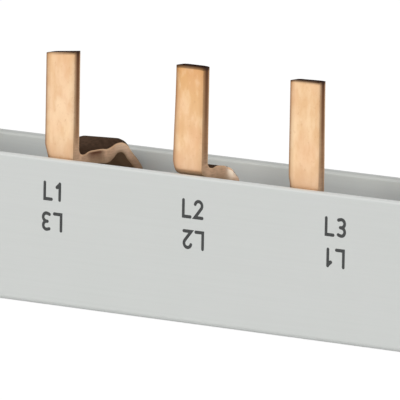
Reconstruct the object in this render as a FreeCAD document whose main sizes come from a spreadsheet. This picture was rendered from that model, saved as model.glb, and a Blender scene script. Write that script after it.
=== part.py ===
# Three-phase comb busbar with pin teeth, in millimetres.
#
# Three flat copper combs stand on edge in the chambers of one extruded plastic housing.
# All teeth rise in one row behind the front wall. The front comb's teeth are straight, and
# the middle and rear combs reach the row by bent strips that pass over the partitions.
# A plug-in cap closes each end.
#
# Frame: X runs along the bar, -Y is the marked front, +Z is the way the teeth point.
# The origin is the middle of the housing's flat underside.

import FreeCAD, Part
import math
import os

import Sketcher

# Driving dimensions. Heights named "over rim" are measured up from the housing's top edge.
sizes = {
    # Layout along the bar
    "module_pitch": 17.8,
    "group_count": 3,
    "front_tooth_offset": -5.15,
    "middle_tooth_offset": -1.7,
    "rear_tooth_offset": -0.25,
    # Housing
    "housing_height": 15.0,
    "housing_depth": 14.2,
    "wall": 1.1,
    "floor_thickness": 1.1,
    "partition_thickness": 0.9,
    "partition_drop": 2.0,
    "rim_radius": 0.35,
    "base_radius": 0.5,
    "rib_thickness": 0.5,
    "lower_rib_height": 3.0,
    "upper_rib_height": 9.4,
    # Combs
    "copper_thickness": 1.05,
    "bar_drop": 3.2,
    "bar_wall_gap": 0.2,
    "bar_rib_gap": 0.1,
    "tooth_width": 3.7,
    "tooth_rise": 11.0,
    "tip_chamfer": 0.1,
    "strip_width": 5.5,
    "shoulder_start": 0.6,
    "shoulder_end": 2.9,
    "root_radius": 0.4,
    "bend_radius": 0.3,
    "middle_rear_bend_radius": 0.8,
    # Middle comb's strip: its centre line over the rim, and distances behind the tooth row
    "middle_foot_over_rim": -0.28,
    "middle_rise_run": 1.75,
    "middle_rise_over_rim": 0.2,
    "middle_fall_over_rim": -0.3,
    # Rear comb's strip, likewise
    "rear_foot_over_rim": -0.8,
    "rear_step_run": 1.9,
    "rear_step_over_rim": 0.15,
    "rear_step_end_run": 4.9,
    "rear_crest_run": 6.5,
    "rear_crest_over_rim": 0.75,
    "rear_crest_end_run": 8.0,
    "rear_fall_over_bar": 1.4,
    # End caps
    "cap_plate": 1.6,
    "cap_corner_radius": 0.5,
    "plug_length": 3.0,
    "plug_gap": 0.1,
    "plug_end_gap": 0.5,
    "plug_lead": 0.4,
    "lug_height": 1.4,
}

# Places and sizes that follow from the driving dimensions, as formulas of the same sheet.
worked_out = {
    "group_pitch": "=3 * module_pitch",
    "housing_length": "=group_count * group_pitch",
    "half_length": "=housing_length / 2",
    "half_depth": "=housing_depth / 2",
    "inner_half_depth": "=half_depth - wall",
    "partition_top": "=housing_height - partition_drop",
    "bar_top": "=housing_height - bar_drop",
    "bar_half_length": "=half_length - plug_length - plug_end_gap",
    "tooth_tip": "=housing_height + tooth_rise",
    "half_copper": "=copper_thickness / 2",
    "outer_bar_centre": "=inner_half_depth - bar_wall_gap - half_copper",
    "partition_centre": "=outer_bar_centre / 2",
    "partition_inner": "=partition_centre - partition_thickness / 2",
    "partition_outer": "=partition_centre + partition_thickness / 2",
    "middle_rib_tip": "=half_copper + bar_rib_gap",
    "outer_rib_tip": "=outer_bar_centre - half_copper - bar_rib_gap",
    "lower_rib_top": "=lower_rib_height + rib_thickness",
    "upper_rib_top": "=upper_rib_height + rib_thickness",
    "plug_bottom": "=lower_rib_top + plug_gap",
    "plug_top": "=upper_rib_height - plug_gap",
    "lug_bottom": "=partition_top + plug_gap",
    "lug_top": "=lug_bottom + lug_height",
    "plug_half_depth": "=inner_half_depth - plug_gap",
    "outer_plug_inner": "=partition_outer + plug_gap",
    "middle_plug_half": "=partition_inner - plug_gap",
    "cap_outer": "=half_length + cap_plate",
    "plug_end": "=half_length - plug_length",
    # A group's modules take the rear, the middle and the front comb's teeth, in that order
    "front_first_tooth": "=2.5 * module_pitch - half_length + front_tooth_offset",
    "middle_first_tooth": "=1.5 * module_pitch - half_length + middle_tooth_offset",
    "rear_first_tooth": "=0.5 * module_pitch - half_length + rear_tooth_offset",
    "front_bar_centre": "=-outer_bar_centre",
    "middle_bar_centre": "=0",
    "rear_bar_centre": "=outer_bar_centre",
    "front_blade_foot": "=bar_top - copper_thickness",
    "middle_blade_foot": "=housing_height + middle_foot_over_rim + bend_radius + copper_thickness",
    "rear_blade_foot": "=housing_height + rear_foot_over_rim + bend_radius + copper_thickness",
}
for place in ("front", "middle", "rear"):
    worked_out[f"{place}_bar_face"] = f"=half_copper - {place}_bar_centre"
    worked_out[f"{place}_tooth_left"] = f"={place}_first_tooth - tooth_width / 2"
    worked_out[f"{place}_tooth_right"] = f"={place}_first_tooth + tooth_width / 2"
    worked_out[f"{place}_strip_left"] = f"={place}_tooth_right - strip_width"

doc = FreeCAD.newDocument("comb_busbar")
sheet = doc.addObject("Spreadsheet::Sheet", "Sizes")
for row, (alias, content) in enumerate({**sizes, **worked_out}.items(), 1):
    sheet.set(f"A{row}", alias.replace("_", " "))
    sheet.set(f"B{row}", str(content))
    sheet.setAlias(f"B{row}", alias)
doc.recompute()


def size(alias):
    return float(sheet.get(alias))


# Sketches and features


def new_body(label):
    body = doc.addObject("PartDesign::Body", label)
    body.Label = label
    return body


def new_sketch(body, name, plane_role, offset=None):
    """A sketch on one of the body's own origin planes, shifted along its normal by an expression."""
    sketch = body.newObject("Sketcher::SketchObject", name)
    plane = next(f for f in body.Origin.OriginFeatures if f.Role == plane_role)
    sketch.AttachmentSupport = [(plane, "")]
    sketch.MapMode = "FlatFace"
    if offset:
        sketch.setExpression("AttachmentOffset.Base.z", offset)
    return sketch


def cell(alias):
    """The expression for a cell, with its sign in front: -half_depth is Sizes.half_depth negated."""
    return "-Sizes." + alias[1:] if alias.startswith("-") else "Sizes." + alias


def cell_value(alias):
    return -size(alias[1:]) if alias.startswith("-") else size(alias)


def rectangle(sketch, tag, left, right, bottom, top):
    """A rectangle whose four sides are bound to cells. A bottom of None lies on the sketch's axis."""
    x0, x1, y1 = cell_value(left), cell_value(right), cell_value(top)
    y0 = cell_value(bottom) if bottom else 0.0
    corners = [(x0, y0), (x1, y0), (x1, y1), (x0, y1)]
    points = [FreeCAD.Vector(x, y, 0) for x, y in corners]
    lines = [sketch.addGeometry(Part.LineSegment(points[i], points[(i + 1) % 4]), False) for i in range(4)]
    for i in range(4):
        sketch.addConstraint(Sketcher.Constraint("Coincident", lines[i], 2, lines[(i + 1) % 4], 1))
        sketch.addConstraint(Sketcher.Constraint("Vertical" if i % 2 else "Horizontal", lines[i]))
    sides = [("left", "DistanceX", lines[0], x0, left), ("right", "DistanceX", lines[2], x1, right),
             ("top", "DistanceY", lines[2], y1, top)]
    if bottom:
        sides.append(("bottom", "DistanceY", lines[0], y0, bottom))
    else:
        sketch.addConstraint(Sketcher.Constraint("PointOnObject", lines[0], 1, -1))
    for side, kind, line, place, alias in sides:
        index = sketch.addConstraint(Sketcher.Constraint(kind, -1, 1, line, 1, place))
        name = f"{tag}_{side}"
        sketch.renameConstraint(index, name)
        sketch.setExpression("Constraints." + name, cell(alias))


def outline(sketch, points):
    """A closed outline of straight lines."""
    corners = [FreeCAD.Vector(x, y, 0) for x, y in points]
    for start, end in zip(corners, corners[1:] + corners[:1]):
        sketch.addGeometry(Part.LineSegment(start, end), False)


def pad(body, sketch, name, length, midplane=False, reverse=False):
    feature = body.newObject("PartDesign::Pad", name)
    feature.Profile = sketch
    feature.Midplane = midplane
    feature.Reversed = reverse
    feature.setExpression("Length", length)
    return feature


def pocket_through(body, sketch, name):
    """A cut through the whole body, both ways from the sketch."""
    feature = body.newObject("PartDesign::Pocket", name)
    feature.Profile = sketch
    feature.Type = "ThroughAll"
    feature.Midplane = True
    return feature


def edges_where(feature, wanted):
    """The names of the straight edges whose direction and middle point pass the test."""
    names = []
    for number, edge in enumerate(feature.Shape.Edges, 1):
        if isinstance(edge.Curve, Part.Line):
            way = edge.tangentAt(edge.FirstParameter)
            middle = edge.valueAt((edge.FirstParameter + edge.LastParameter) / 2)
            if wanted(way, middle):
                names.append(f"Edge{number}")
    return names


TOLERANCE = 1e-4


def near(a, b):
    return abs(a - b) < TOLERANCE


def along(way, axis):
    return near(abs(getattr(way, axis)), 1)


def dress_edges(body, kind, name, base, wanted, property_name, alias):
    """A fillet or chamfer on the edges of base that pass the test."""
    doc.recompute()
    feature = body.newObject("PartDesign::" + kind, name)
    feature.Base = (base, edges_where(base, wanted))
    feature.setExpression(property_name, cell(alias))
    return feature


# Housing: outer block, upper trough between the walls, three chambers, and the ribs that hold the bars


def make_housing():
    body = new_body("housing")
    block = new_sketch(body, "housing_section", "YZ_Plane")
    rectangle(block, "block", "-half_depth", "half_depth", None, "housing_height")
    pad(body, block, "housing_block", cell("housing_length"), midplane=True)

    trough = new_sketch(body, "trough_section", "YZ_Plane")
    rectangle(trough, "trough", "-inner_half_depth", "inner_half_depth", "partition_top", "housing_height")
    pocket_through(body, trough, "trough")

    chambers = new_sketch(body, "chamber_sections", "YZ_Plane")
    chamber_sides = {
        "front": ("-inner_half_depth", "-partition_outer"),
        "middle": ("-partition_inner", "partition_inner"),
        "rear": ("partition_outer", "inner_half_depth"),
    }
    for tag, (left, right) in chamber_sides.items():
        rectangle(chambers, tag, left, right, "floor_thickness", "partition_top")
    pocket_through(body, chambers, "chambers")

    ribs = new_sketch(body, "rib_sections", "YZ_Plane")
    rib_sides = {
        "front": ("-outer_rib_tip", "-partition_outer"),
        "middle_front": ("-partition_inner", "-middle_rib_tip"),
        "middle_rear": ("middle_rib_tip", "partition_inner"),
        "rear": ("partition_outer", "outer_rib_tip"),
    }
    for tag, (left, right) in rib_sides.items():
        rectangle(ribs, "lower_" + tag, left, right, "lower_rib_height", "lower_rib_top")
        rectangle(ribs, "upper_" + tag, left, right, "upper_rib_height", "upper_rib_top")
    ribbed = pad(body, ribs, "ribs", cell("housing_length"), midplane=True)

    top = size("housing_height")
    rounded = dress_edges(
        body, "Fillet", "rounded_rims", ribbed,
        lambda way, middle: along(way, "x") and near(middle.z, top),
        "Radius", "rim_radius")
    dress_edges(
        body, "Fillet", "rounded_base", rounded,
        lambda way, middle: along(way, "x") and near(middle.z, 0),
        "Radius", "base_radius")
    return body


# Combs: a flat bar on edge, and teeth that rise from it directly or by a bent strip


def bent_section(corners, inner_radii):
    """The closed section of a bent strip: both faces of a centre line whose corners are rounded.

    corners holds the centre line's two ends and the bends between them, inner_radii each bend's inner radius.
    """
    half = size("half_copper")
    up = FreeCAD.Vector(0, 0, 1)
    points = [FreeCAD.Vector(y, z, 0) for y, z in corners]
    faces = []
    for side in (half, -half):
        way = (points[1] - points[0]).normalize()
        last = points[0] + up.cross(way) * side
        face = []
        for before, corner, after, inner_radius in zip(points, points[1:], points[2:], inner_radii):
            way = (corner - before).normalize()
            way_out = (after - corner).normalize()
            turn = math.atan2(way.cross(way_out).z, way.dot(way_out))
            inward = up.cross(way) * math.copysign(1, turn)
            centre_radius = inner_radius + half
            tangent = centre_radius * math.tan(abs(turn) / 2)
            centre = corner - way * tangent + inward * centre_radius
            radius = centre_radius - math.copysign(side, side * turn)
            arc = []
            for share in (0, 0.5, 1):
                turned = FreeCAD.Rotation(up, math.degrees(turn * share))
                arc.append(centre - turned.multVec(inward) * radius)
            face += [Part.LineSegment(last, arc[0]), Part.Arc(*arc)]
            last = arc[2]
        face.append(Part.LineSegment(last, points[-1] + up.cross(way_out) * side))
        faces.append(face)
    left, right = faces
    start = Part.LineSegment(left[0].StartPoint, right[0].StartPoint)
    end = Part.LineSegment(left[-1].EndPoint, right[-1].EndPoint)
    return left + right + [start, end]


def add_strip(body, label, place, centre_line, inner_radii):
    """The bent strip behind one tooth, as wide as the tooth at its foot and wider towards the bar."""
    section = new_sketch(body, label + "_strip_section", "YZ_Plane", cell(place + "_strip_left"))
    start = (size(place + "_bar_centre"), size("bar_top") - size("copper_thickness"))
    foot = (size("front_bar_centre"), size(place + "_blade_foot"))
    section.addGeometry(bent_section([start, *centre_line, foot], inner_radii), False)
    strip = pad(body, section, label + "_strip", cell("strip_width"))

    shoulder = new_sketch(body, label + "_shoulder_outline", "XY_Plane")
    strip_left, tooth_left = size(place + "_strip_left"), size(place + "_tooth_left")
    row, beyond = size("front_bar_centre"), size("copper_thickness")
    outline(shoulder, [
        (strip_left - beyond, row - beyond),
        (tooth_left, row - beyond),
        (tooth_left, row + size("shoulder_start")),
        (strip_left, row + size("shoulder_end")),
        (strip_left - beyond, row + size("shoulder_end")),
    ])
    return [strip, pocket_through(body, shoulder, label + "_shoulder")]


def make_comb(label, place, centre_line=None, inner_radii=None):
    body = new_body(label)
    bar = new_sketch(body, label + "_bar_outline", "XZ_Plane", cell(place + "_bar_face"))
    rectangle(bar, "bar", "-bar_half_length", "bar_half_length", "floor_thickness", "bar_top")
    pad(body, bar, label + "_bar", cell("copper_thickness"), reverse=True)

    tooth = add_strip(body, label, place, centre_line, inner_radii) if centre_line else []
    blade = new_sketch(body, label + "_blade_outline", "XZ_Plane", cell("front_bar_face"))
    left, right, foot = (f"{place}_{side}" for side in ("tooth_left", "tooth_right", "blade_foot"))
    rectangle(blade, "blade", left, right, foot, "tooth_tip")
    tooth.append(pad(body, blade, label + "_blade", cell("copper_thickness"), reverse=True))

    doc.recompute()
    row = body.newObject("PartDesign::LinearPattern", label + "_tooth_row")
    row.Originals = tooth
    row.Direction = (next(f for f in body.Origin.OriginFeatures if f.Role == "X_Axis"), [""])
    row.Mode = "Spacing"
    row.setExpression("Offset", cell("group_pitch"))
    row.setExpression("Occurrences", cell("group_count"))
    body.Tip = row

    bar_top, bar_end, tip = size("bar_top"), size("bar_half_length"), size("tooth_tip")
    rooted = dress_edges(
        body, "Fillet", label + "_roots", row,
        lambda way, middle: along(way, "y") and near(middle.z, bar_top) and not near(abs(middle.x), bar_end),
        "Radius", "root_radius")
    dress_edges(
        body, "Chamfer", label + "_tips", rooted,
        lambda way, middle: near(middle.z, tip),
        "Size", "tip_chamfer")
    return body


def over_rim(alias):
    return size("housing_height") + size(alias)


def behind_row(alias):
    return size("front_bar_centre") + size(alias)


def make_combs():
    """The front comb is straight. The middle and rear combs' strips are given from the bar to the tooth."""
    bend = size("bend_radius")
    make_comb("phase_bar_3", "front")
    make_comb("phase_bar_2", "middle", [
        (size("middle_bar_centre"), over_rim("middle_fall_over_rim")),
        (behind_row("middle_rise_run"), over_rim("middle_rise_over_rim")),
        (size("front_bar_centre"), over_rim("middle_foot_over_rim")),
    ], [size("middle_rear_bend_radius"), bend, bend])
    make_comb("phase_bar_1", "rear", [
        (size("rear_bar_centre"), size("bar_top") + size("rear_fall_over_bar")),
        (behind_row("rear_crest_end_run"), over_rim("rear_crest_over_rim")),
        (behind_row("rear_crest_run"), over_rim("rear_crest_over_rim")),
        (behind_row("rear_step_end_run"), over_rim("rear_step_over_rim")),
        (behind_row("rear_step_run"), over_rim("rear_step_over_rim")),
        (size("front_bar_centre"), over_rim("rear_foot_over_rim")),
    ], [bend] * 6)


# End caps: a plate over the cut end, three plugs between the ribs of the chambers and a lug in the trough


def make_cap(label, right):
    body = new_body(label)
    place = cell("half_length" if right else "-half_length")
    plate = new_sketch(body, label + "_plate_outline", "YZ_Plane", place)
    rectangle(plate, "plate", "-half_depth", "half_depth", None, "housing_height")
    pad(body, plate, label + "_plate", cell("cap_plate"), reverse=not right)

    plugs = new_sketch(body, label + "_plug_sections", "YZ_Plane", place)
    rectangle(plugs, "front", "-plug_half_depth", "-outer_plug_inner", "plug_bottom", "plug_top")
    rectangle(plugs, "middle", "-middle_plug_half", "middle_plug_half", "plug_bottom", "plug_top")
    rectangle(plugs, "rear", "outer_plug_inner", "plug_half_depth", "plug_bottom", "plug_top")
    rectangle(plugs, "lug", "-plug_half_depth", "plug_half_depth", "lug_bottom", "lug_top")
    plugged = pad(body, plugs, label + "_plugs", cell("plug_length"), reverse=right)

    half_length, outer, end = size("half_length"), size("cap_outer"), size("plug_end")
    led = dress_edges(
        body, "Chamfer", label + "_leads", plugged,
        lambda way, middle: near(abs(middle.x), end),
        "Size", "plug_lead")
    dress_edges(
        body, "Fillet", label + "_corners", led,
        lambda way, middle: near(abs(middle.x), outer) or (along(way, "x") and abs(middle.x) > half_length),
        "Radius", "cap_corner_radius")
    return body


def check_and_export(bodies):
    """Nothing is written unless every object is sound."""
    doc.recompute()
    for thing in doc.Objects:
        if "Invalid" in thing.State or "Error" in thing.State:
            raise RuntimeError(f"{thing.Label} failed: {thing.State}")
    for body in bodies:
        if body.Shape.isNull() or not body.Shape.isValid() or len(body.Shape.Solids) != 1:
            raise RuntimeError(f"{body.Label} is not one sound solid")
    os.makedirs("parts", exist_ok=True)
    for body in bodies:
        body.Shape.exportStep(f"parts/{body.Label}.step")
        box = body.Shape.BoundBox
        print(f"{body.Label}: {body.Shape.Volume:.1f} mm3, X {box.XMin:.2f} to {box.XMax:.2f}, "
              f"Y {box.YMin:.2f} to {box.YMax:.2f}, Z {box.ZMin:.2f} to {box.ZMax:.2f}")


make_housing()
make_combs()
make_cap("end_cap_left", right=False)
make_cap("end_cap_right", right=True)
check_and_export([thing for thing in doc.Objects if thing.TypeId == "PartDesign::Body"])
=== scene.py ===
# A three-phase comb busbar: grey drawn housing, three copper combs, two end caps and printed phase marks.
# Lengths are in metres in the frame of the parts: X runs along the bar, -Y is the marked front, Z is up.

import copy
import math

import bmesh
import bpy
from mathutils import Matrix, Vector
from mathutils.kdtree import KDTree


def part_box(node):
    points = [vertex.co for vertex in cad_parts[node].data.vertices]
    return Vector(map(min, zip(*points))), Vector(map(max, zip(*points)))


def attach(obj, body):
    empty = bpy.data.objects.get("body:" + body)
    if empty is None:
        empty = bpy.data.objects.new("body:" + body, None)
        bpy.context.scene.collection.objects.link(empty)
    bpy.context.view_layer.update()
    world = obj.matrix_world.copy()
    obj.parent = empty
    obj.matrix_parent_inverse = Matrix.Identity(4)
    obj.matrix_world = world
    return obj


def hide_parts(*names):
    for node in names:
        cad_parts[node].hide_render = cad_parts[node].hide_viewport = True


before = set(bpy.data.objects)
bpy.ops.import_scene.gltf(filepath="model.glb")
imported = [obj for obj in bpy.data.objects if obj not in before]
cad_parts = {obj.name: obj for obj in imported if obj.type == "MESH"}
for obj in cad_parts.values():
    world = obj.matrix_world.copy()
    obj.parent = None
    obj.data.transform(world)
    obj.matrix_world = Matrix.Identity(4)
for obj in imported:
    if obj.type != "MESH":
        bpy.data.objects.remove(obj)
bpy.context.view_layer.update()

MM = 0.001
BODY = "root"

# Places read from the parts
HOUSING_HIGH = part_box("housing")[1]
FRONT_BAR_LOW, FRONT_BAR_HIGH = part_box("phase_bar_3")
HALF_LENGTH = HOUSING_HIGH.x
HALF_DEPTH = HOUSING_HIGH.y
RIM = HOUSING_HIGH.z
TIP = FRONT_BAR_HIGH.z
COPPER = FRONT_BAR_HIGH.y - FRONT_BAR_LOW.y
TOOTH_ROW = (FRONT_BAR_LOW.y + FRONT_BAR_HIGH.y) / 2
BAR_FOOT = FRONT_BAR_LOW.z
BAR_END = FRONT_BAR_HIGH.x
GROUPS = 3
GROUP_PITCH = 2 * HALF_LENGTH / GROUPS
MODULE_PITCH = GROUP_PITCH / 3

# The housing's drawn section
WALL = 1.1 * MM
FLOOR = 1.1 * MM
PARTITION = 0.9 * MM
PARTITION_DROP = 2.0 * MM
RIM_RADIUS = 0.35 * MM
INNER_RIM_RADIUS = 0.42 * MM
BASE_RADIUS = 0.5 * MM
PARTITION_RADIUS = 0.25 * MM
DIE_RADIUS = 0.12 * MM
RIB = 0.5 * MM
RIB_HEIGHTS = (3.0 * MM, 9.4 * MM)
RIB_GAP = 0.1 * MM

# The combs
BAR_TOP = RIM - 3.2 * MM
STRIP_WIDTH = 5.5 * MM
SHOULDER_START = 0.6 * MM
SHOULDER_END = 2.9 * MM
ROOT_RADIUS = 0.4 * MM
TIP_CHAMFER = 0.1 * MM
BEND_RADIUS = 0.3 * MM
WIDE_BEND_RADIUS = 0.8 * MM
ROLLED_EDGE = 0.25 * MM
# How far an edge's wear reaches into the sheet
WORN_WIDTH = 0.7 * MM
# The lines along a cut edge, from the sheet's front (1) to its back (-1)
LEVELS = (1, 0.05, -0.45, -1)
# How cut the edge looks where its rounding ends, and how often that is evened out over the rounding
ROUNDING_END = 0.55
ROUNDING_PASSES = 12
# How much darker the faces are made along their left edge
LEFT_EDGE_DARKENING = 0.75
# How far the cut edge's darkening falls back to its usual wear towards the sheet's front
FRONT_FADE = 0.25
# How high above the rim a tooth's foot draws in, and between which heights its sides' stain changes
FOOT_SPAN = 1.3 * MM
STAIN_SPAN = (0.5 * MM, 5.0 * MM)
# The height of the band of painted shade below the tip, and the height over which it fades below that
TIP_SHADE_BAND = 0.27 * MM
BAND_FADE = 0.1 * MM
# No other row of points lies this near to the tip
TIP_HEIGHT = 1.0 * MM
# How far a strip spreads at its right, and between which distances behind the tooth row, in mm
STRIP_FLARE = 0.2 * MM
FLARE_SPAN = (0.4, 1.6)
# How shaded a strip's front face gets, and between which distances
SHADE = 0.32
SHADE_SPAN = (2.0, 4.0)
# Up to which distance the front face is squared
SQUARED_REACH = 1.5
# What each point of a comb carries for its colour
SHARES = ("darkened", "shaded", "bright", "painted_tip_shade", "warm")

# The phase marks
GLYPH_HEIGHT = 1.66 * MM
STROKE = 0.335 * MM
DIGIT_SHIFT = 1.46 * MM
MARK_START = -4 * MODULE_PITCH
UPPER_MARKS = RIM - 3.29 * MM
LOWER_MARKS = RIM - 6.42 * MM
MARK_SHIFTS = ((-0.02, 0.02), (0.01, 0.12), (-0.06, 0.03))
INK = 0.01 * MM
# A stroke's outer corner reaches no further out than half its width over this
MITRE_LIMIT = 0.4

# Smoothness of drawn and bent forms
ARC_STEP = math.radians(9)
RUN_STEP = 0.4 * MM
SHARP = math.radians(35)
# Points nearer than this are one
SAME_PLACE = 0.001 * MM


def colour(red, green, blue):
    """The linear colour of three values from 0 to 255, as a screen shows them."""
    shares = (value / 255 for value in (red, green, blue))
    return (*(s / 12.92 if s < 0.04045 else ((s + 0.055) / 1.055) ** 2.4 for s in shares), 1.0)


# Materials


class Finish:
    """A material and short ways to add nodes to it. Patterns lie on the piece's own coordinates."""

    def __init__(self, name):
        self.material = bpy.data.materials.new(name)
        self.material.use_nodes = True
        self.tree = self.material.node_tree
        self.surface = self.tree.nodes["Principled BSDF"]

    def node(self, kind, inputs=None, **settings):
        """Adds a node. A value in inputs is a number or colour, or another node's socket."""
        made = self.tree.nodes.new(kind)
        for name, value in settings.items():
            setattr(made, name, value)
        for name, value in (inputs or {}).items():
            self.put(made, name, value)
        return made

    def put(self, node, name, value):
        if isinstance(value, bpy.types.NodeSocket):
            self.tree.links.new(value, node.inputs[name])
        else:
            node.inputs[name].default_value = value

    def set(self, name, value):
        self.put(self.surface, name, value)

    def place(self, stretch=(1, 1, 1)):
        """The place on the piece, with each axis scaled by stretch."""
        seat = self.node("ShaderNodeTexCoord").outputs["Object"]
        return self.node("ShaderNodeMapping", {"Vector": seat, "Scale": stretch}).outputs["Vector"]

    def noise(self, grain, detail=3.0, stretch=(1, 1, 1)):
        """A noise whose blots are about grain metres across."""
        return self.node("ShaderNodeTexNoise", {
            "Vector": self.place(stretch), "Scale": 1 / grain, "Detail": detail,
        }).outputs["Fac"]

    def share(self, name):
        """A value that the piece's own points carry."""
        return self.node("ShaderNodeAttribute", attribute_name=name).outputs["Fac"]

    def axis(self, vector, name):
        return self.node("ShaderNodeSeparateXYZ", {"Vector": vector}).outputs[name]

    def smaller(self, first, second):
        return self.node("ShaderNodeMath", {0: first, 1: second}, operation="MINIMUM").outputs[0]

    def larger(self, first, second):
        return self.node("ShaderNodeMath", {0: first, 1: second}, operation="MAXIMUM").outputs[0]

    def span(self, value, low, high, to_low=0.0, to_high=1.0):
        return self.node("ShaderNodeMapRange", {
            "Value": value, "From Min": low, "From Max": high, "To Min": to_low, "To Max": to_high,
        }).outputs["Result"]

    def mix(self, share, first, second, blend="MIX"):
        made = self.node("ShaderNodeMix", data_type="RGBA", blend_type=blend)
        for socket, value in zip((made.inputs[0], made.inputs[6], made.inputs[7]), (share, first, second)):
            if isinstance(value, bpy.types.NodeSocket):
                self.tree.links.new(value, socket)
            else:
                socket.default_value = value
        return made.outputs[2]

    def ramp(self, value, stops):
        """A colour that runs through stops, each a place from 0 to 1 and a colour."""
        made = self.node("ShaderNodeValToRGB", {"Fac": value})
        band = made.color_ramp
        while len(band.elements) < len(stops):
            band.elements.new(0.5)
        for element, (where, tint) in zip(band.elements, stops):
            element.position = where
            element.color = tint
        return made.outputs["Color"]

    def bump(self, height, depth, under=None):
        inputs = {"Height": height, "Strength": 1.0, "Distance": depth}
        if under is not None:
            inputs["Normal"] = under
        return self.node("ShaderNodeBump", inputs).outputs["Normal"]


def drawn_plastic():
    """Grey PVC drawn through a die: faint lines along the bar, a soft, even sheen, painted light on the
    walls' inner faces and painted shade on the rear wall's top.
    """
    finish = Finish("drawn_grey_pvc")
    lines = finish.noise(0.22 * MM, 4.0, (0.012, 1, 1))
    clouds = finish.noise(9 * MM, 2.0)
    grain = finish.noise(0.06 * MM, 2.0)
    upward = finish.axis(finish.node("ShaderNodeNewGeometry").outputs["Normal"], "Z")
    seat = finish.node("ShaderNodeTexCoord").outputs["Object"]
    depth, height = finish.axis(seat, "Y"), finish.axis(seat, "Z")
    inner = HALF_DEPTH - WALL
    tint = finish.mix(clouds, colour(203, 206, 203), colour(206, 208, 206))
    behind_front = finish.span(depth, -inner, -inner + 0.3 * MM)
    before_rear = finish.span(depth, inner, inner + 0.2 * MM, 1.0, 0.0)
    inside = finish.smaller(behind_front, before_rear)
    # Painted light: the walls' inner faces are made lighter, most near the rim
    near_rim = finish.span(height, RIM - 1.7 * MM, RIM - 0.3 * MM)
    inner_painted_light = finish.mix(near_rim, colour(208, 212, 211), colour(221, 225, 222))
    tint = finish.mix(inside, tint, inner_painted_light)
    # Painted shade: the top of the rear wall is made darker
    on_rear = finish.span(depth, inner - 0.1 * MM, inner + 0.2 * MM)
    rear_top_painted_shade = finish.smaller(on_rear, finish.span(upward, 0.2, 0.7))
    tint = finish.mix(rear_top_painted_shade, tint, colour(174, 177, 174))
    on_lines = finish.span(lines, 0.35, 0.65)
    lined = finish.mix(1.0, tint, (0.985, 0.985, 0.985, 1), "MULTIPLY")
    finish.set("Base Color", finish.mix(on_lines, tint, lined))
    finish.set("Roughness", finish.span(lines, 0.3, 0.7, 0.40, 0.50))
    finish.set("Normal", finish.bump(grain, 0.0015 * MM, finish.bump(lines, 0.002 * MM)))
    return finish.material


def moulded_plastic():
    """The end caps' grey plastic, with the fine grain of an eroded mould."""
    finish = Finish("moulded_grey_cap")
    grain = finish.noise(0.12 * MM, 3.0)
    clouds = finish.noise(5 * MM, 2.0)
    finish.set("Base Color", finish.mix(clouds, colour(203, 206, 202), colour(207, 210, 206)))
    finish.set("Roughness", finish.span(grain, 0.3, 0.7, 0.48, 0.60))
    finish.set("Normal", finish.bump(grain, 0.008 * MM))
    return finish.material


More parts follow.
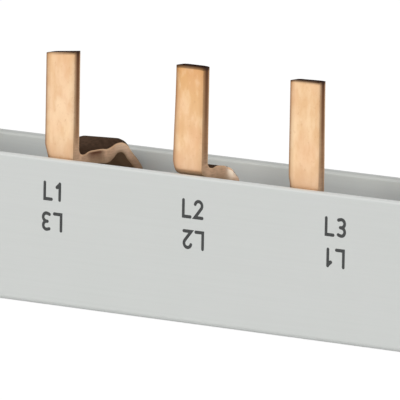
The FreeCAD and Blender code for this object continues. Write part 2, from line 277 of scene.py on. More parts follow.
def copper():
    """Copper sheet: warm rolled faces, striped brown cut edges with painted shade towards the tip, and dark
    shade painted where it faces up.

    The combs' points carry shares from 0 to 1 that say where it is cut, darkened, shaded and so on.
    """
    finish = Finish("copper")
    sheared = finish.span(finish.share("sheared"), 0.4, 1.0)
    darkened, shaded, bright, painted_tip_shade, warm = (finish.share(name) for name in SHARES)
    height = finish.axis(finish.node("ShaderNodeTexCoord").outputs["Object"], "Z")
    upward = finish.axis(finish.node("ShaderNodeNewGeometry").outputs["Normal"], "Z")
    blots = finish.noise(0.9 * MM, 4.0, (1, 1, 0.45))
    flush = finish.noise(2.6 * MM, 2.0, (1, 1, 0.6))
    lines = finish.noise(0.2 * MM, 3.0, (1, 1, 0.08))
    specks = finish.noise(0.45 * MM, 2.0)

    rolled = finish.mix(warm, colour(245, 214, 176), colour(224, 172, 114))
    rolled = finish.mix(finish.span(blots, 0.34, 0.50, 0.4, 0.0), rolled, colour(255, 226, 188))
    rolled = finish.mix(finish.span(blots, 0.48, 0.68, 0.0, 0.45), rolled, colour(221, 172, 122))
    rolled = finish.mix(finish.span(flush, 0.42, 0.66, 0.0, 0.3), rolled, colour(231, 178, 142))
    rolled = finish.mix(finish.span(specks, 0.60, 0.80, 0.0, 0.35), rolled, colour(200, 148, 106))
    near_rim = finish.span(height, RIM + 0.3 * MM, RIM + 2.8 * MM, 0.5, 0.0)
    rolled = finish.mix(near_rim, rolled, colour(214, 176, 146))
    near_tip = finish.span(height, TIP - 1.5 * MM, TIP - 0.3 * MM, 0.0, 0.35)
    rolled = finish.mix(near_tip, rolled, colour(218, 164, 112))
    rolled = finish.mix(darkened, rolled, colour(120, 78, 50))
    rolled = finish.mix(shaded, rolled, colour(96, 66, 46))
    # Painted shade: the copper down in the housing is made darker
    in_housing_painted_shade = finish.span(height, BAR_TOP - 0.5 * MM, BAR_TOP + 1.5 * MM, 1.0, 0.0)
    rolled = finish.mix(in_housing_painted_shade, rolled, colour(112, 92, 80))

    stripes = finish.noise(0.12 * MM, 3.0, (1, 0.2, 1))
    patches = finish.noise(1.2 * MM, 2.0)
    # The cut edges' own brown, with painted shade that darkens it from pale near the rim to nearly black at
    # the tip
    cut_brown_and_shade_by_height = [
        (BAR_TOP, colour(206, 170, 140)),
        (RIM - 0.5 * MM, colour(250, 212, 180)),
        (RIM + 1.1 * MM, colour(244, 204, 168)),
        (RIM + 2.6 * MM, colour(190, 148, 110)),
        (RIM + 6.0 * MM, colour(142, 104, 72)),
        (TIP - 1.5 * MM, colour(118, 78, 48)),
        (TIP - 0.7 * MM, colour(96, 62, 38)),
        (TIP - 0.2 * MM, colour(56, 34, 20)),
    ]
    stops = [((at - BAR_TOP) / (TIP - BAR_TOP), tint) for at, tint in cut_brown_and_shade_by_height]
    cut = finish.ramp(finish.span(height, BAR_TOP, TIP), stops)
    cut = finish.mix(finish.span(stripes, 0.4, 0.7, 0.0, 0.25), cut, colour(110, 76, 52))
    cut = finish.mix(finish.span(patches, 0.5, 0.75, 0.0, 0.20), cut, colour(136, 92, 66))
    cut = finish.mix(darkened, cut, colour(104, 60, 38))
    # Painted highlight on the cut edge where a strip bends
    cut = finish.mix(bright, cut, colour(255, 236, 214))

    tint = finish.mix(sheared, rolled, cut)
    # Painted shade: the tip's face and a thin band below it are made nearly black
    tint = finish.mix(painted_tip_shade, tint, colour(52, 32, 22))
    # Painted shade: faces that look up are made dark and matte, the cut ones darkest
    painted_top_shade = finish.mix(finish.span(specks, 0.3, 0.7), colour(66, 52, 42), colour(82, 64, 52))
    painted_top_shade = finish.mix(sheared, painted_top_shade, colour(38, 20, 12))
    up_facing_painted_shade = finish.smaller(finish.span(upward, 0.25, 0.62), finish.span(bright, 0.5, 0.9, 1.0, 0.0))
    finish.set("Base Color", finish.mix(up_facing_painted_shade, tint, painted_top_shade))
    under = finish.span(upward, -0.7, -0.15, 0.9, 0.0)
    finish.set("Metallic", finish.span(finish.larger(up_facing_painted_shade, under), 0.0, 1.0, 1.0, 0.0))
    finish.set("Specular IOR Level", 0.0)
    metal_roughness = finish.span(sheared, 0.0, 1.0, 0.38, 0.52)
    finish.set("Roughness", finish.larger(metal_roughness, finish.span(up_facing_painted_shade, 0.0, 1.0, 0.0, 0.85)))
    finish.set("Normal", finish.bump(specks, 0.004 * MM, finish.bump(lines, 0.0015 * MM)))
    return finish.material


def mark_ink():
    """Dark grey print, a little uneven as ink is on plastic."""
    finish = Finish("mark_ink")
    finish.set("Base Color", finish.mix(finish.noise(0.2 * MM), colour(42, 44, 44), colour(58, 60, 59)))
    finish.set("Roughness", 0.55)
    return finish.material


# Outlines and paths, as lists of 2-D points


def rounded_line(corners, radii, closed=False):
    """The line through corners with each turn rounded to its radius."""
    points = [Vector(corner) for corner in corners]
    line = []
    for index, (corner, radius) in enumerate(zip(points, radii)):
        is_end = index in (0, len(points) - 1) and not closed
        if is_end or radius <= 0:
            line.append(corner)
            continue
        way = (corner - points[index - 1]).normalized()
        way_out = (points[(index + 1) % len(points)] - corner).normalized()
        turn = math.atan2(way.x * way_out.y - way.y * way_out.x, way.dot(way_out))
        reach = radius * math.tan(abs(turn) / 2)
        inward = Vector((-way.y, way.x)) * math.copysign(radius, turn)
        centre = corner - way * reach + inward
        steps = max(2, math.ceil(abs(turn) / ARC_STEP))
        for step in range(steps + 1):
            line.append(centre - Matrix.Rotation(turn * step / steps, 2) @ inward)
    return line


def arc(centre, radius, start, end, steps=10):
    """Points on an arc, from one angle to the other, in degrees."""
    angles = [math.radians(start + (end - start) * step / steps) for step in range(steps + 1)]
    return [Vector((centre[0] + radius * math.cos(a), centre[1] + radius * math.sin(a))) for a in angles]


def stroke_outline(line, width):
    """The closed outline of a pen stroke of this width along the line, with round ends."""
    half = width / 2
    ways = [(b - a).normalized() for a, b in zip(line, line[1:])]
    sides = []
    for side in (1, -1):
        face = []
        for index, point in enumerate(line):
            before = ways[max(index - 1, 0)]
            after = ways[min(index, len(ways) - 1)]
            across = (Vector((-before.y, before.x)) + Vector((-after.y, after.x))).normalized()
            stretch = 1 / max(across.dot(Vector((-after.y, after.x))), MITRE_LIMIT)
            face.append(point + across * side * half * stretch)
        sides.append(face)
    left, right = sides
    heading = math.degrees(math.atan2(ways[-1].y, ways[-1].x))
    start = math.degrees(math.atan2(ways[0].y, ways[0].x))
    end_cap = arc(line[-1], half, heading + 90, heading - 90, 6)[1:-1]
    start_cap = arc(line[0], half, start - 90, start - 270, 6)[1:-1]
    return left + end_cap + right[::-1] + start_cap


# Meshes


def new_piece(name, mesh):
    piece = bpy.data.objects.new(name, mesh)
    bpy.context.scene.collection.objects.link(piece)
    return piece


def mesh_from(form, name):
    mesh = bpy.data.meshes.new(name)
    form.to_mesh(mesh)
    form.free()
    return mesh


def flat_mesh(name, outlines, seat):
    """One face for each outline. seat turns an outline's 2-D point into its place."""
    form = bmesh.new()
    for outline in outlines:
        form.faces.new([form.verts.new(seat(point)) for point in outline])
    return mesh_from(form, name)


def soften(piece):
    """Smooth shading that keeps flat faces flat and sharp edges sharp."""
    for face in piece.data.polygons:
        face.use_smooth = True
    piece.data.set_sharp_from_angle(angle=SHARP)
    weighted = piece.modifiers.new("even_normals", "WEIGHTED_NORMAL")
    weighted.keep_sharp = True
    return apply_modifiers(piece)


def apply_modifiers(piece):
    """Puts what the modifiers make into the piece's own mesh and takes them off."""
    graph = bpy.context.evaluated_depsgraph_get()
    mesh = bpy.data.meshes.new_from_object(piece.evaluated_get(graph), depsgraph=graph)
    piece.modifiers.clear()
    piece.data = mesh
    return piece


# Geometry node trees


class Recipe:
    """A geometry node tree with named inputs, which works on a piece's own mesh."""

    KINDS = {"count": "NodeSocketInt", "length": "NodeSocketFloat", "way": "NodeSocketVector",
             "material": "NodeSocketMaterial"}

    def __init__(self, name, sockets):
        self.tree = bpy.data.node_groups.new(name, "GeometryNodeTree")
        face = self.tree.interface
        face.new_socket("Geometry", in_out="OUTPUT", socket_type="NodeSocketGeometry")
        face.new_socket("Geometry", in_out="INPUT", socket_type="NodeSocketGeometry")
        self.names = {}
        for label, kind in sockets.items():
            socket = face.new_socket(label, in_out="INPUT", socket_type=self.KINDS[kind])
            self.names[label] = socket.identifier
        self.given = self.tree.nodes.new("NodeGroupInput").outputs
        self.result = self.tree.nodes.new("NodeGroupOutput").inputs[0]

    def node(self, kind, inputs=None, **settings):
        made = self.tree.nodes.new(kind)
        for name, value in settings.items():
            setattr(made, name, value)
        for name, value in (inputs or {}).items():
            if isinstance(value, bpy.types.NodeSocket):
                self.tree.links.new(value, made.inputs[name])
            else:
                made.inputs[name].default_value = value
        return made

    def end(self, geometry, material):
        """Makes real, joined geometry with its material the tree's result."""
        real = self.node("GeometryNodeRealizeInstances", {"Geometry": geometry}).outputs[0]
        real = self.node("GeometryNodeMergeByDistance", {
            "Geometry": real, "Distance": SAME_PLACE}).outputs[0]
        done = self.node("GeometryNodeSetMaterial", {"Geometry": real, "Material": material}).outputs[0]
        self.tree.links.new(done, self.result)

    def run(self, piece, **inputs):
        modifier = piece.modifiers.new(self.tree.name, "NODES")
        modifier.node_group = self.tree
        for label, value in inputs.items():
            modifier[self.names[label]] = value
        return apply_modifiers(piece)


def drawing_recipe():
    """Draws flat faces out along a way into closed solids."""
    recipe = Recipe("draw_out", {"way": "way", "material": "material"})
    given = recipe.given
    drawn = recipe.node("GeometryNodeExtrudeMesh", {
        "Mesh": given["Geometry"], "Offset": given["way"], "Individual": False}).outputs["Mesh"]
    back = recipe.node("GeometryNodeFlipFaces", {"Mesh": given["Geometry"]}).outputs["Mesh"]
    both = recipe.node("GeometryNodeJoinGeometry")
    for part in (back, drawn):
        recipe.tree.links.new(part, both.inputs[0])
    recipe.end(both.outputs[0], given["material"])
    return recipe


def repeating_recipe():
    """Repeats the piece's mesh in a row along X. Open sides that meet are joined."""
    recipe = Recipe("repeat_in_row", {"count": "count", "pitch": "length", "material": "material"})
    given = recipe.given
    step = recipe.node("ShaderNodeCombineXYZ", {"X": given["pitch"]}).outputs[0]
    row = recipe.node("GeometryNodeMeshLine", {
        "Count": given["count"], "Offset": step}, mode="OFFSET").outputs[0]
    copies = recipe.node("GeometryNodeInstanceOnPoints", {
        "Points": row, "Instance": given["Geometry"]}).outputs[0]
    recipe.end(copies, given["material"])
    return recipe


# Housing


def housing_section():
    """The closed section, as 2-D points (Y, Z). The rear half mirrors the front half."""
    inner = HALF_DEPTH - WALL
    outer_bar = -TOOTH_ROW
    partition_middle = outer_bar / 2
    near_side = partition_middle + PARTITION / 2
    far_side = partition_middle - PARTITION / 2
    front_rib = outer_bar - COPPER / 2 - RIB_GAP
    middle_rib = COPPER / 2 + RIB_GAP
    partition_top = RIM - PARTITION_DROP
    half = [
        (HALF_DEPTH, 0, BASE_RADIUS), (HALF_DEPTH, RIM, RIM_RADIUS),
        (inner, RIM, INNER_RIM_RADIUS), (inner, FLOOR, DIE_RADIUS), (near_side, FLOOR, DIE_RADIUS),
    ]
    for height in RIB_HEIGHTS:
        half += [(near_side, height, DIE_RADIUS), (front_rib, height, DIE_RADIUS),
                 (front_rib, height + RIB, DIE_RADIUS), (near_side, height + RIB, DIE_RADIUS)]
    half += [(near_side, partition_top, PARTITION_RADIUS), (far_side, partition_top, PARTITION_RADIUS)]
    for height in reversed(RIB_HEIGHTS):
        half += [(far_side, height + RIB, DIE_RADIUS), (middle_rib, height + RIB, DIE_RADIUS),
                 (middle_rib, height, DIE_RADIUS), (far_side, height, DIE_RADIUS)]
    half.append((far_side, FLOOR, DIE_RADIUS))
    corners = [(-y, z, r) for y, z, r in half] + half[::-1]
    return rounded_line([(y, z) for y, z, _ in corners], [r for _, _, r in corners], closed=True)


def make_housing(draw, material):
    section = housing_section()
    front_skin = -HALF_DEPTH + INK
    mesh = flat_mesh("housing_section", [section], lambda p: (-HALF_LENGTH, max(p.x, front_skin), p.y))
    piece = new_piece("housing_profile", mesh)
    draw.run(piece, way=(2 * HALF_LENGTH, 0, 0), material=material)
    outward(piece)
    return soften(piece)


def outward(piece):
    """Turns the faces of a closed mesh outwards."""
    form = bmesh.new()
    form.from_mesh(piece.data)
    bmesh.ops.recalc_face_normals(form, faces=form.faces)
    form.to_mesh(piece.data)
    form.free()


# Combs


class Comb:
    """What sets one comb apart. Its strip's corners are (Y, Z) from the bar to the foot of the tooth."""

    corners = []
    radii = []
    # How far the tip's left and right corners end below the full height
    tip_drops = (0, 0)
    # How much further its very corners are worn down
    tip_rounds = (0, 0)
    # How far the tooth's left and right sides lie off their nominal place, each at the tip and at the rim
    left_offsets = (0, 0)
    right_offsets = (0, 0)
    # How far the left side draws in at the foot
    foot_narrowing = 0
    # How steep the sheet is where the front face leaves the bend and where it reaches its plane
    squared = None
    # Effects along the strip. A span says how far behind the tooth row, in mm, one starts, is full, starts
    # to fade and is gone.
    # How far the strip's edges sag off its plane, and how far the right one rises and the left one falls
    sag, sag_span = 0, (1, 2, 3, 4)
    tilt = 0
    # How far the front face's edges stand out, and how far the back face's are worn off
    lip, lip_span = 0, (1, 2, 3, 4)
    worn, worn_span = 0, (1, 2, 3, 4)
    # How much highlight is painted on the edges, and how far the right one leans in at the sheet's back
    bright, bright_span = 0, (1, 2, 3, 4)
    lean = 0
    # How dark the cut edges are made there, and how dark they are made elsewhere
    darkened, torn_span = 0.2, (1, 2, 3, 4)
    wear = 0.2
    # How much more the cut sides of the blade are stained at the rim, and from half way up
    blade_stain = (0, 0)
    # How much shade is painted on the tip's face at its left and right, and on the tooth just below it
    burn, scorch = (1, 1), (0.25, 0.25)
    # How warm the blade's colour is at the rim, half way up and at the tip
    warmth = (0.4, 0.3, 0.3)

    def __init__(self, name, node, **differences):
        self.name = name
        self.node = node
        for key, value in differences.items():
            setattr(self, key, value)

    def warm_at(self, height):
        """The warmth at a share of the blade's height."""
        at_rim, half_way, at_tip = self.warmth
        halves = 2 * min(max(height, 0), 1)
        return lerp(at_rim, half_way, halves) if halves < 1 else lerp(half_way, at_tip, halves - 1)


class Row:
    """One row of points across a tooth or strip, from left to right."""

    def __init__(self, point, way, xs):
        self.point = point
        self.way = way
        self.xs = xs
        self.sag = 0
        self.tilt = 0
        self.lip = 0
        self.worn = 0
        self.lean = 0
        self.squared = None
        self.darkened = 0
        self.bright = 0
        self.shaded = 0
        self.painted_tip_shade = (0, 0)
        self.warm = 0
        self.drops = (0, 0)
        self.rounds = (0, 0)

    def lowered(self, depth, painted_tip_shade):
        """A like row further down, with another share of painted tip shade at its left and right."""
        row = copy.copy(self)
        row.point = self.point - Vector((0, depth))
        row.painted_tip_shade = painted_tip_shade
        return row

    def across(self, x):
        """The share of the row's width that lies left of x."""
        left, right = self.xs[0], self.xs[-1]
        return min(max((x - left) / (right - left), 0), 1)

    def from_edge(self, x):
        """A share that is 1 on the sheet's edge and 0 further in."""
        return max(1 - max(min(x - self.xs[0], self.xs[-1] - x), 0) / WORN_WIDTH, 0)

    def place(self, x, side):
        """The place at x on the sheet's front (1), its back (-1) or between them."""
        share = self.across(x)
        by_edge = self.from_edge(x) ** 2
        pull = self.sag + {1: self.lip, -1: self.worn}.get(side, 0)
        inward = Vector((-self.way.y, self.way.x))
        flat = self.point + inward * (COPPER / 2 * side + pull * by_edge)
        if self.squared and side == 1:
            flat.x = lerp(flat.x, TOOTH_ROW - COPPER / 2, ease(self.way.y, *self.squared))
        drop = lerp(*self.drops, share) + self.rounds[share > 0.5] * by_edge
        lean = self.lean * by_edge * (share > 0.5) * (1 - side) / 2
        return x - lean, flat.x, flat.y + self.tilt * (2 * share - 1) - drop


def first_tooth(node):
    """The middle of the leftmost tooth of a comb, and a tooth's full width, read from its tips."""
    tips = [v.co.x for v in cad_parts[node].data.vertices if v.co.z > TIP - TIP_CHAMFER / 2]
    left = min(tips)
    right = max(x for x in tips if x < left + MODULE_PITCH)
    return (left + right) / 2, right - left + 2 * TIP_CHAMFER


def stations(line):
    """Places along a path with no long gap, each a point and the direction there."""
    places = []
    for a, b in zip(line, line[1:]):
        steps = max(1, math.ceil((b - a).length / RUN_STEP))
        places += [a.lerp(b, step / steps) for step in range(steps)]
    places.append(line[-1])
    ways = []
    for index in range(len(places)):
        before = places[max(index - 1, 0)]
        after = places[min(index + 1, len(places) - 1)]
        ways.append((after - before).normalized())
    return list(zip(places, ways))


def lerp(start, end, share):
    return start + (end - start) * share


def ease(value, start, end):
    """A share that grows smoothly from 0 at start to 1 at end."""
    share = min(max((value - start) / (end - start), 0), 1)
    return share * share * (3 - 2 * share)


def swell(value, span):
    """A share that grows from 0 to 1, stays and falls back to 0, at the four values of span."""
    return ease(value, *span[:2]) * (1 - ease(value, *span[2:]))


def columns(left, right):
    """The places across a row: both edges, and two more inside each where its wear fades."""
    half = WORN_WIDTH / 2
    return [left, left + half, left + WORN_WIDTH, right - WORN_WIDTH, right - half, right]


def tooth_rows(comb, tooth, width):
    """The rows of one tooth from the bar's top to its tip."""
    left, right = tooth - width / 2, tooth + width / 2
    strip_left = right - STRIP_WIDTH if comb.corners else left
    bar_y = comb.corners[0][0] if comb.corners else TOOTH_ROW
    flare = [math.radians(angle) for angle in (0, 30, 60, 90)]
    start = [Vector((bar_y, BAR_TOP + ROOT_RADIUS * (1 - math.cos(a)))) for a in flare]
    corners = [start[-1], *comb.corners, (TOOTH_ROW, TIP)]
    line = rounded_line(corners, [0, *comb.radii, 0])
    rows = []
    for point, angle in zip(start, flare):
        spread = ROOT_RADIUS * (1 - math.sin(angle))
        rows.append(Row(point, Vector((0, 1)), columns(strip_left - spread, right + spread)))
    for point, way in stations(line)[1:]:
        behind = (point.x - TOOTH_ROW) / MM
        to_strip = min(max((point.x - TOOTH_ROW - SHOULDER_START) / (SHOULDER_END - SHOULDER_START), 0), 1)
        in_blade = behind < 0.01
        up = ease(point.y, RIM, TIP) if in_blade else 0
        on_left, on_right = (lerp(low, high, up) for high, low in (comb.left_offsets, comb.right_offsets))
        on_left += comb.foot_narrowing * (1 - ease(point.y, RIM, RIM + FOOT_SPAN))
        flare_out = STRIP_FLARE * ease(behind, *FLARE_SPAN)
        row = Row(point, way, columns(
            left + (strip_left - left) * to_strip + on_left * MM, right + on_right * MM + flare_out))
        row.sag = comb.sag * MM * swell(behind, comb.sag_span)
        row.tilt = comb.tilt * MM * swell(behind, comb.sag_span)
        row.lip = comb.lip * MM * swell(behind, comb.lip_span)
        row.worn = comb.worn * MM * swell(behind, comb.worn_span)
        if behind < SQUARED_REACH:
            row.squared = comb.squared
        row.darkened = lerp(comb.wear, comb.darkened, swell(behind, comb.torn_span))
        if in_blade:
            row.darkened += lerp(*comb.blade_stain, ease(point.y - RIM, *STAIN_SPAN))
        row.bright = comb.bright * swell(behind, comb.bright_span)
        row.lean = comb.lean * MM * swell(behind, comb.bright_span)
        row.shaded = SHADE * ease(behind, *SHADE_SPAN)
        row.warm = comb.warm_at((point.y - RIM) / (TIP - RIM))
        rows.append(row)
    tip = rows[-1]
    tip.drops = [drop * MM for drop in comb.tip_drops]
    tip.rounds = [drop * MM for drop in comb.tip_rounds]
    tip.painted_tip_shade = comb.burn
    band_end = tip.lowered(TIP_SHADE_BAND + BAND_FADE, painted_tip_shade=(0, 0))
    band = tip.lowered(TIP_SHADE_BAND, painted_tip_shade=comb.scorch)
    return [row for row in rows if row.point.y < TIP - TIP_HEIGHT] + [band_end, band, tip]


def comb_cell(comb, tooth, width):
    """One group's length of a comb: the bar, open at both ends, and one tooth bent up to its row."""
    rows = tooth_rows(comb, tooth, width)
    form = bmesh.new()
    cut = form.faces.layers.bool.new("cut")
    shares = {name: form.verts.layers.float.new(name) for name in SHARES}

    def line(row, xs, level, height=None):
        made = []
        for x in xs:
            place = row.place(x, level)
            vert = form.verts.new(place if height is None else (*place[:2], height))
            by_edge = row.from_edge(x) ** 2 if row.xs[0] <= x <= row.xs[-1] else 0
            if abs(level) == 1:
                vert[shares["darkened"]] = by_edge * (LEFT_EDGE_DARKENING if x < tooth else comb.wear)
            else:
                vert[shares["darkened"]] = lerp(row.darkened, comb.wear, FRONT_FADE * (level > 0))
            vert[shares["shaded"]] = row.shaded if level == 1 else 0
            vert[shares["bright"]] = row.bright * min(2 * row.from_edge(x), 1)
            vert[shares["painted_tip_shade"]] = lerp(*row.painted_tip_shade, row.across(x))
            vert[shares["warm"]] = row.warm
            made.append(vert)
        return made

    def fill(lower, upper, is_cut):
        for a, b, c, d in zip(lower, lower[1:], upper[1:], upper):
            form.faces.new((a, b, c, d))[cut] = is_cut

    root, tip = rows[0], rows[-1]
    across = [tooth - GROUP_PITCH / 2, *root.xs, tooth + GROUP_PITCH / 2]
    rims = {}
    for level in LEVELS:
        bottom = line(root, across, level, BAR_FOOT)
        if abs(level) == 1:
            top = line(root, across, level)
            ribbon = [top[1:-1]] + [line(row, row.xs, level) for row in rows[1:]]
            fill(bottom, top, False)
            for lower, upper in zip(ribbon, ribbon[1:]):
                fill(lower, upper, False)
            left, right = [points[0] for points in ribbon], [points[-1] for points in ribbon]
            left_shelf, right_shelf, end = top[:2], top[-2:], ribbon[-1]
        else:
            left_shelf, right_shelf = line(root, across[:2], level), line(root, across[-2:], level)
            left = [left_shelf[1]] + [line(row, row.xs[:1], level)[0] for row in rows[1:]]
            right = [right_shelf[0]] + [line(row, row.xs[-1:], level)[0] for row in rows[1:]]
            end = [left[-1], *line(tip, tip.xs[1:-1], level), right[-1]]
        rims[level] = (bottom, left_shelf, left, end, right, right_shelf)
    for one, other in zip(LEVELS, LEVELS[1:]):
        for first, second in zip(rims[one], rims[other]):
            fill(first, second, True)
    bmesh.ops.recalc_face_normals(form, faces=form.faces)
    return new_piece(comb.name, mesh_from(form, comb.name))


def make_comb(comb, repeat, material):
    """The whole comb: its cells in a row, the bar drawn to its ends, and softened edges."""
    tooth, width = first_tooth(comb.node)
    piece = comb_cell(comb, tooth, width)
    repeat.run(piece, count=GROUPS, pitch=GROUP_PITCH, material=material)
    form = bmesh.new()
    form.from_mesh(piece.data)
    cut = form.faces.layers.bool["cut"]
    open_rims = [edge for edge in form.edges if edge.is_boundary]
    for vert in {vert for edge in open_rims for vert in edge.verts}:
        vert.co.x = math.copysign(BAR_END, vert.co.x)
    for face in bmesh.ops.holes_fill(form, edges=open_rims)["faces"]:
        face[cut] = True
    bmesh.ops.recalc_face_normals(form, faces=form.faces)
    soften_rims(form, cut)
    for face in form.faces:
        face.material_index = 0
    form.to_mesh(piece.data)
    form.free()
    piece.data.materials.clear()
    piece.data.materials.append(material)
    return soften(piece)


def soften_rims(form, cut):
    """Rounds the rims of the cut edges, and spreads the points' shares over the rounding."""
    shares = [form.verts.layers.float[name] for name in SHARES]
    known = KDTree(len(form.verts))
    values = []
    for index, vert in enumerate(form.verts):
        known.insert(vert.co, index)
        values.append([vert[share] for share in shares])
    known.balance()
    rims = [edge for edge in form.edges if len({face[cut] for face in edge.link_faces}) == 2]
    rounding = set(bmesh.ops.bevel(
        form, geom=rims, offset=ROLLED_EDGE, offset_type="OFFSET", segments=3, profile=0.5,
        affect="EDGES", clamp_overlap=True, material=-1)["faces"])
    sheared = form.verts.layers.float.new("sheared")
    between = []
    for vert in form.verts:
        nearest = values[known.find(vert.co)[1]]
        for share, value in zip(shares, nearest):
            vert[share] = value
        sides = {face[cut] for face in vert.link_faces if face not in rounding}
        on_cut = 1 if rounding.isdisjoint(vert.link_faces) else ROUNDING_END
        vert[sheared] = on_cut if sides == {True} else 0
        if not sides:
            between.append(vert)
    for _ in range(ROUNDING_PASSES):
        for vert in between:
            around = [edge.other_vert(vert) for edge in vert.link_edges]
            vert[sheared] = sum(other[sheared] for other in around) / len(around)


def make_combs(repeat, material):
    middle_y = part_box("phase_bar_2")[1].y - COPPER / 2
    rear_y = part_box("phase_bar_1")[1].y - COPPER / 2
    bend = BEND_RADIUS + COPPER / 2
    wide_bend = WIDE_BEND_RADIUS + COPPER / 2

    def behind(run, over_rim):
        return TOOTH_ROW + run * MM, RIM + over_rim * MM

    front = Comb(
        "comb_front", "phase_bar_3",
        tip_drops=(0.24, 0.15), tip_rounds=(0.08, 0.03),
        left_offsets=(0.06, 0.05), right_offsets=(0.02, 0.1), foot_narrowing=0.2,
        warmth=(0.38, 0.27, 0.33), wear=0.1, blade_stain=(0.45, 0),
        burn=(0.8, 1.0), scorch=(0.0, 0.3))
    middle = Comb(
        "comb_middle", "phase_bar_2",
        corners=[(middle_y, RIM - 0.3 * MM), behind(1.75, 0.2), behind(0, -0.28)],
        radii=[wide_bend, bend, 1.1 * MM], squared=(0.45, 0.93),
        tip_drops=(0.05, 0.05), tip_rounds=(0.06, 0.06),
        left_offsets=(0.22, -0.02), right_offsets=(-0.10, -0.11), foot_narrowing=0.45,
        warmth=(0.4, 0.55, 1.0), wear=0.2, blade_stain=(0.3, 0), scorch=(0.6, 0.6),
        sag=-0.08, sag_span=(1.2, 2.2, 3.0, 4.0),
        lip=0.3, lip_span=(0.6, 1.6, 4.6, 5.2),
        worn=0.3, worn_span=(3.2, 4.0, 4.8, 5.6),
        bright=1.0, bright_span=(3.1, 4.3, 4.6, 5.4), lean=0.36)
    rear = Comb(
        "comb_rear", "phase_bar_1",
        corners=[(rear_y, BAR_TOP + 0.9 * MM), behind(8.0, 0.75), behind(6.5, 0.75), behind(4.9, 0.15),
                 behind(1.9, 0.15), behind(0, -0.8)],
        radii=[bend, 2.0 * MM, 2.4 * MM, 2.0 * MM, 1.6 * MM, 1.05 * MM], squared=(0.15, 0.6),
        tip_drops=(0.36, 0.0), tip_rounds=(0.05, 0),
        left_offsets=(0.03, 0.03), right_offsets=(-0.05, -0.02), foot_narrowing=0.45,
        warmth=(0.4, 0.0, 0.4), wear=0.18, blade_stain=(0, 0.14),
        burn=(0.3, 1.0), scorch=(0.0, 0.35),
        sag=0.42, tilt=0.10, sag_span=(3.8, 6.0, 8.6, 10.2),
        lip=0.5, lip_span=(0.8, 1.8, 4.6, 6.6),
        darkened=1.0, torn_span=(1.3, 2.5, 3.6, 4.8),
        bright=0.25, bright_span=(5.6, 6.8, 8.0, 9.4))
    return [make_comb(comb, repeat, material) for comb in (front, middle, rear)]


# End caps


def make_cap(name, node, material):
    """A copy of a cap's own form with its corners shaded soft."""
    form = bmesh.new()
    form.from_mesh(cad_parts[node].data)
    bmesh.ops.remove_doubles(form, verts=form.verts, dist=SAME_PLACE)
    bmesh.ops.dissolve_limit(form, angle_limit=math.radians(1), verts=form.verts, edges=form.edges)
    mesh = mesh_from(form, name)
    mesh.materials.clear()
    mesh.materials.append(material)
    return soften(new_piece(name, mesh))


# Phase marks


def glyphs():
    """The pen lines of each sign, from its lower left corner."""
    tall = GLYPH_HEIGHT
    round_two, round_three = 0.44 * MM, 0.41 * MM
    two = arc((round_two, tall - round_two), round_two, 165, -32)
    low_round = tall / 2 - 0.005 * MM
    three_top = [
        Vector((0.04 * MM, tall - 0.08 * MM)),
        *arc((0.40 * MM, tall - round_three), round_three, 106, -90),
        Vector((0.28 * MM, tall - 2 * round_three)),
    ]
    three_low = [*arc((0.42 * MM, low_round / 2), low_round / 2, 90, -108), Vector((0.03 * MM, 0.10 * MM))]
    return {
        "L": [[Vector((0, tall)), Vector((0, 0)), Vector((0.88 * MM, 0))]],
        "1": [[Vector((0.46 * MM, tall)), Vector((0.46 * MM, 0))],
              [Vector((0.08 * MM, tall - 0.38 * MM)), Vector((0.42 * MM, tall - 0.09 * MM))],
              [Vector((0.10 * MM, tall - 0.40 * MM)), Vector((0.44 * MM, tall - 0.30 * MM))]],
        "2": [[*two, Vector((0, 0)), Vector((0.92 * MM, 0))]],
        "3": [three_top, three_low],
    }


def mark_outlines(phase, middle, turned):
    """The outlines of a phase's mark about its middle, upside down if turned."""
    signs = glyphs()
    lines = signs["L"] + [[p + Vector((DIGIT_SHIFT, 0)) for p in line] for line in signs[str(phase)]]
    xs = [point.x for line in lines for point in line]
    centre = Vector(((min(xs) + max(xs)) / 2, GLYPH_HEIGHT / 2))
    side = -1 if turned else 1
    return [stroke_outline([middle + (p - centre) * side for p in line], STROKE) for line in lines]


def make_marks(draw, repeat, material):
    """Both rows of marks: upright above, and below them the other way up and in reverse order."""
    outlines = []
    for phase, (upper, lower) in enumerate(MARK_SHIFTS, 1):
        x = MARK_START + (phase - 1) * MODULE_PITCH
        outlines += mark_outlines(phase, Vector((x + upper * MM, UPPER_MARKS)), turned=False)
        outlines += mark_outlines(4 - phase, Vector((x + lower * MM, LOWER_MARKS)), turned=True)
    mesh = flat_mesh("mark_outlines", outlines, lambda p: (p.x, -HALF_DEPTH + INK, p.y))
    # Neighbouring strokes lie at three depths, so that strokes that cross share no face
    for face in mesh.polygons:
        for index in face.vertices:
            mesh.vertices[index].co.y += INK / 4 * (face.index % 3)
    piece = new_piece("phase_marks", mesh)
    draw.run(piece, way=(0, -INK, 0), material=material)
    repeat.run(piece, count=GROUPS, pitch=GROUP_PITCH, material=material)
    outward(piece)
    return piece


# Floor, light and camera


def make_floor():
    """A plain pale floor that keeps the bar's shadow."""
    reach = 6.0
    mesh = bpy.data.meshes.new("floor")
    mesh.from_pydata([(-reach, -reach, 0), (reach, -reach, 0), (reach, reach, 0), (-reach, reach, 0)],
                     [], [(0, 1, 2, 3)])
    floor = new_piece("floor", mesh)
    finish = Finish("pale_floor")
    tree = finish.tree
    finish.set("Base Color", (0.90, 0.90, 0.90, 1))
    finish.set("Roughness", 0.9)
    finish.set("Specular IOR Level", 0.1)
    paper = finish.node("ShaderNodeBsdfDiffuse", {"Color": (0.46, 0.46, 0.46, 1)})
    glow = finish.node("ShaderNodeEmission", {"Color": (1, 1, 1, 1), "Strength": 0.62})
    white = finish.node("ShaderNodeAddShader")
    tree.links.new(paper.outputs[0], white.inputs[0])
    tree.links.new(glow.outputs[0], white.inputs[1])
    show_to_eye(tree, finish.surface.outputs[0], white.outputs[0], tree.nodes["Material Output"])
    floor.data.materials.append(finish.material)


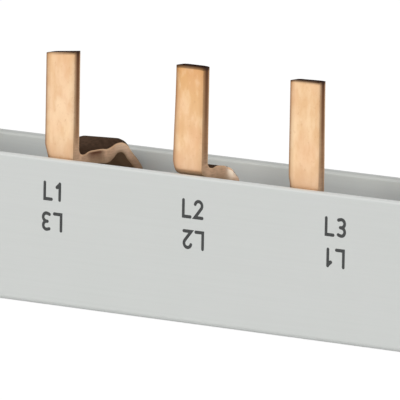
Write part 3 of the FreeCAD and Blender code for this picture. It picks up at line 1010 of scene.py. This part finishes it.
def show_to_eye(tree, lighting, seen, output):
    """Shows one shader to the eye, in reflections and through glass, and lets the other light the bar."""
    rays = tree.nodes.new("ShaderNodeLightPath").outputs
    either = rays["Is Camera Ray"]
    for kind in ("Is Glossy Ray", "Is Transmission Ray"):
        most = tree.nodes.new("ShaderNodeMath")
        most.operation = "MAXIMUM"
        tree.links.new(either, most.inputs[0])
        tree.links.new(rays[kind], most.inputs[1])
        either = most.outputs[0]
    choice = tree.nodes.new("ShaderNodeMixShader")
    tree.links.new(either, choice.inputs[0])
    tree.links.new(lighting, choice.inputs[1])
    tree.links.new(seen, choice.inputs[2])
    tree.links.new(choice.outputs[0], output.inputs["Surface"])


def make_world():
    """A white surround to the eye and in reflections, which lights the bar softly."""
    world = bpy.data.worlds.new("studio")
    world.use_nodes = True
    bpy.context.scene.world = world
    tree = world.node_tree
    soft = tree.nodes["Background"]
    soft.inputs["Strength"].default_value = 0.62
    soft.inputs["Color"].default_value = (1, 1, 1, 1)
    seen = tree.nodes.new("ShaderNodeBackground")
    seen.inputs["Color"].default_value = (1, 1, 1, 1)
    show_to_eye(tree, soft.outputs[0], seen.outputs[0], tree.nodes["World Output"])


def towards(azimuth, elevation):
    """The way from the bar to a place at these angles. Azimuth 0 is straight before the marked front."""
    level = math.cos(elevation)
    return Vector((math.sin(azimuth) * level, -math.cos(azimuth) * level, math.sin(elevation)))


def make_lamp(name, azimuth, elevation, distance, width, power):
    """A square soft box that looks at the bar."""
    lamp = bpy.data.lights.new(name, "AREA")
    lamp.size = width
    lamp.energy = power
    away = towards(math.radians(azimuth), math.radians(elevation))
    box = bpy.data.objects.new(name, lamp)
    box.location = away * distance
    box.rotation_mode = "QUATERNION"
    box.rotation_quaternion = away.to_track_quat("Z", "Y")
    bpy.context.scene.collection.objects.link(box)


def make_camera():
    """The photograph's view: from the right of the marked front and a little above it."""
    azimuth, elevation, roll = (math.radians(angle) for angle in (36.78, 8.35, 1.01))
    distance = 1066.0 * MM
    target = Vector((0.893, -7.1, 12.722)) * MM
    away = towards(azimuth, elevation)
    right = Vector((math.cos(azimuth), math.sin(azimuth), 0))
    up = away.cross(right)
    right, up = (right * math.cos(roll) + up * math.sin(roll), up * math.cos(roll) - right * math.sin(roll))
    camera = bpy.data.cameras.new("camera")
    camera.sensor_width = 36.0
    camera.lens = 956.9
    camera.clip_start = 0.05
    camera.clip_end = 50.0
    eye = bpy.data.objects.new("camera", camera)
    turned = Matrix((right, up, away)).transposed().to_4x4()
    turned.translation = target + away * distance
    eye.matrix_world = turned
    bpy.context.scene.collection.objects.link(eye)
    bpy.context.scene.camera = eye


def dress():
    """Makes every piece and sets it on its part."""
    draw, repeat = drawing_recipe(), repeating_recipe()
    caps = moulded_plastic()
    housing = make_housing(draw, drawn_plastic())
    front, middle, rear = make_combs(repeat, copper())
    pieces = [
        (housing, "housing", "housing_plastic"),
        (front, "phase_bar_3", "copper"),
        (middle, "phase_bar_2", "copper"),
        (rear, "phase_bar_1", "copper"),
        (make_cap("cap_left", "end_cap_left", caps), "end_cap_left", "cap_plastic"),
        (make_cap("cap_right", "end_cap_right", caps), "end_cap_right", "cap_plastic"),
    ]
    for piece, node, slot in pieces:
        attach(piece, BODY)
        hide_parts(node)
    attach(make_marks(draw, repeat, mark_ink()), BODY)


bpy.context.scene.view_settings.view_transform = "Standard"
dress()
make_floor()
make_world()
make_lamp("key_box", azimuth=-30, elevation=42, distance=1.5, width=1.1, power=11.0)
make_camera()
